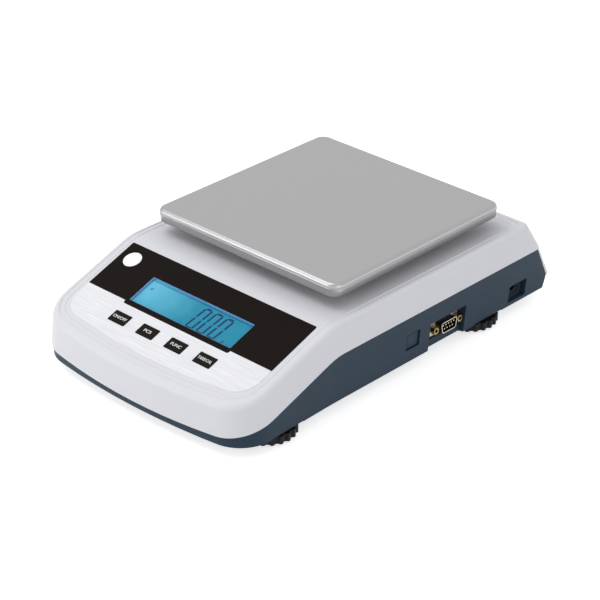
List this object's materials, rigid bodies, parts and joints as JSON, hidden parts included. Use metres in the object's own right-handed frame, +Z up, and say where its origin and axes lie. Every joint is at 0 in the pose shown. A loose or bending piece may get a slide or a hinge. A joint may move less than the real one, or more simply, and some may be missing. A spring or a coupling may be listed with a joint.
{
  "type": "portable precision balance",
  "caption": "Portable precision balance with a square stainless pan, a flat deck, a sloping display and key panel, side connectors and levelling thumbwheel feet.",
  "frame": {"origin": "on the table, under the middle of the housing", "axes": "+Z up, +Y from the keys to the back, +X to the right of someone at the keys"},
  "size_m": [0.1998, 0.3236, 0.087],
  "materials": {
    "cover_plastic": "fine moulded texture, satin",
    "base_plastic": "fine moulded texture, satin",
    "pan_steel": "stainless, fine brushed",
    "cast_aluminium": "as cast, satin",
    "machined_aluminium": "milled",
    "screw_steel": "zinc plated",
    "plate_steel": "black powder coat",
    "printed_film": "printed film, brushed silver and black",
    "clear_film": "clear film",
    "display_glass": "liquid crystal display, teal",
    "white_plastic": "moulded",
    "dark_rubber": "matte",
    "board_green": "solder mask",
    "key_plastic": "satin",
    "black_plastic": "satin",
    "capacitor_sleeve": "sleeved",
    "plated_shell": "plated steel, slightly yellow",
    "pin_brass": "gold plated",
    "battery_wrap": "shrink wrap",
    "lead_jacket": "cable jacket",
    "ribbon_grey": "flat cable",
    "gauge_film": "foil gauge",
    "insert_brass": "turned"
  },
  "bodies": {
    "housing": {"top_cover": "cover_plastic", "base_tray": "base_plastic", "housing_screws": "screw_steel", "battery_door": "base_plastic", "battery_door_screws": "screw_steel", "pan_support": "cast_aluminium", "pan_cushions": "dark_rubber", "pan_support_screws": "screw_steel", "load_bridge": "machined_aluminium", "load_cell_spacers": "machined_aluminium", "load_cell": "machined_aluminium", "strain_gauges": "gauge_film", "load_cell_screws": "screw_steel", "chassis_plate": "plate_steel", "chassis_screws": "screw_steel", "overload_stop": "screw_steel", "load_cell_lead": "lead_jacket", "front_overlay": "printed_film", "display_window": "clear_film", "lcd_frame": "black_plastic", "lcd_glass": "display_glass", "lcd_backlight": "white_plastic", "zebra_strips": "dark_rubber", "display_board": "board_green", "board_screws": "screw_steel", "switch_bodies": "black_plastic", "buzzer": "black_plastic", "level_cup": "white_plastic", "level_lens": "white_plastic", "main_board": "board_green", "board_chips": "black_plastic", "board_capacitors": "capacitor_sleeve", "cable_headers": "white_plastic", "serial_shell": "plated_shell", "serial_insulator": "black_plastic", "serial_pins": "pin_brass", "serial_jack_screws": "screw_steel", "power_jack": "black_plastic", "power_jack_pin": "pin_brass", "battery_pack": "battery_wrap", "battery_lead": "lead_jacket", "display_ribbon": "ribbon_grey", "foot_inserts": "insert_brass"},
    "pan": {"weighing_pan": "pan_steel"},
    "key_power_cap": {"key_power": "key_plastic"},
    "key_count_cap": {"key_count": "key_plastic"},
    "key_function_cap": {"key_function": "key_plastic"},
    "key_tare_cap": {"key_tare": "key_plastic"},
    "foot_front_left_pad": {"foot_pad_front_left": "dark_rubber"},
    "foot_front_left_screw": {"foot_wheel_front_left": "black_plastic", "foot_stud_front_left": "screw_steel"},
    "foot_front_right_pad": {"foot_pad_front_right": "dark_rubber"},
    "foot_front_right_screw": {"foot_wheel_front_right": "black_plastic", "foot_stud_front_right": "screw_steel"},
    "foot_rear_left_pad": {"foot_pad_rear_left": "dark_rubber"},
    "foot_rear_left_screw": {"foot_wheel_rear_left": "black_plastic", "foot_stud_rear_left": "screw_steel"},
    "foot_rear_right_pad": {"foot_pad_rear_right": "dark_rubber"},
    "foot_rear_right_screw": {"foot_wheel_rear_right": "black_plastic", "foot_stud_rear_right": "screw_steel"}
  },
  "joints": [
    {"name": "pan_lift", "type": "slide", "parent": "housing", "child": "pan", "axis": [0, 0, 1], "range_m": [0, 0.03]},
    {"name": "key_power_press", "type": "slide", "parent": "housing", "child": "key_power_cap", "axis": [0, 0.3322, -0.9432], "range_m": [0, 0.0006], "stiffness_N_per_m": 1500, "springref_m": -0.0005},
    {"name": "key_count_press", "type": "slide", "parent": "housing", "child": "key_count_cap", "axis": [0, 0.3322, -0.9432], "range_m": [0, 0.0006], "stiffness_N_per_m": 1500, "springref_m": -0.0005},
    {"name": "key_function_press", "type": "slide", "parent": "housing", "child": "key_function_cap", "axis": [0, 0.3322, -0.9432], "range_m": [0, 0.0006], "stiffness_N_per_m": 1500, "springref_m": -0.0005},
    {"name": "key_tare_press", "type": "slide", "parent": "housing", "child": "key_tare_cap", "axis": [0, 0.3322, -0.9432], "range_m": [0, 0.0006], "stiffness_N_per_m": 1500, "springref_m": -0.0005},
    {"name": "foot_front_left_travel", "type": "slide", "parent": "housing", "child": "foot_front_left_pad", "axis": [0, 0, 1], "range_m": [-0.00501, 0.00063]},
    {"name": "foot_front_left_turn", "type": "hinge", "parent": "foot_front_left_pad", "child": "foot_front_left_screw", "pos_m": [-0.0782, -0.1128, 0.005], "axis": [0, 0, 1], "range_deg": [-1440, 180]},
    {"name": "foot_front_right_travel", "type": "slide", "parent": "housing", "child": "foot_front_right_pad", "axis": [0, 0, 1], "range_m": [-0.00501, 0.00063]},
    {"name": "foot_front_right_turn", "type": "hinge", "parent": "foot_front_right_pad", "child": "foot_front_right_screw", "pos_m": [0.0782, -0.1128, 0.005], "axis": [0, 0, 1], "range_deg": [-1440, 180]},
    {"name": "foot_rear_left_travel", "type": "slide", "parent": "housing", "child": "foot_rear_left_pad", "axis": [0, 0, 1], "range_m": [-0.00501, 0.00063]},
    {"name": "foot_rear_left_turn", "type": "hinge", "parent": "foot_rear_left_pad", "child": "foot_rear_left_screw", "pos_m": [-0.0782, 0.091, 0.005], "axis": [0, 0, 1], "range_deg": [-1440, 180]},
    {"name": "foot_rear_right_travel", "type": "slide", "parent": "housing", "child": "foot_rear_right_pad", "axis": [0, 0, 1], "range_m": [-0.00501, 0.00063]},
    {"name": "foot_rear_right_turn", "type": "hinge", "parent": "foot_rear_right_pad", "child": "foot_rear_right_screw", "pos_m": [0.0782, 0.091, 0.005], "axis": [0, 0, 1], "range_deg": [-1440, 180]}
  ],
  "couplings": [
    {"joint": "foot_front_left_travel", "follows": "foot_front_left_turn", "m_per_rad": 0.00019894},
    {"joint": "foot_front_right_travel", "follows": "foot_front_right_turn", "m_per_rad": 0.00019894},
    {"joint": "foot_rear_left_travel", "follows": "foot_rear_left_turn", "m_per_rad": 0.00019894},
    {"joint": "foot_rear_right_travel", "follows": "foot_rear_right_turn", "m_per_rad": 0.00019894}
  ]
}
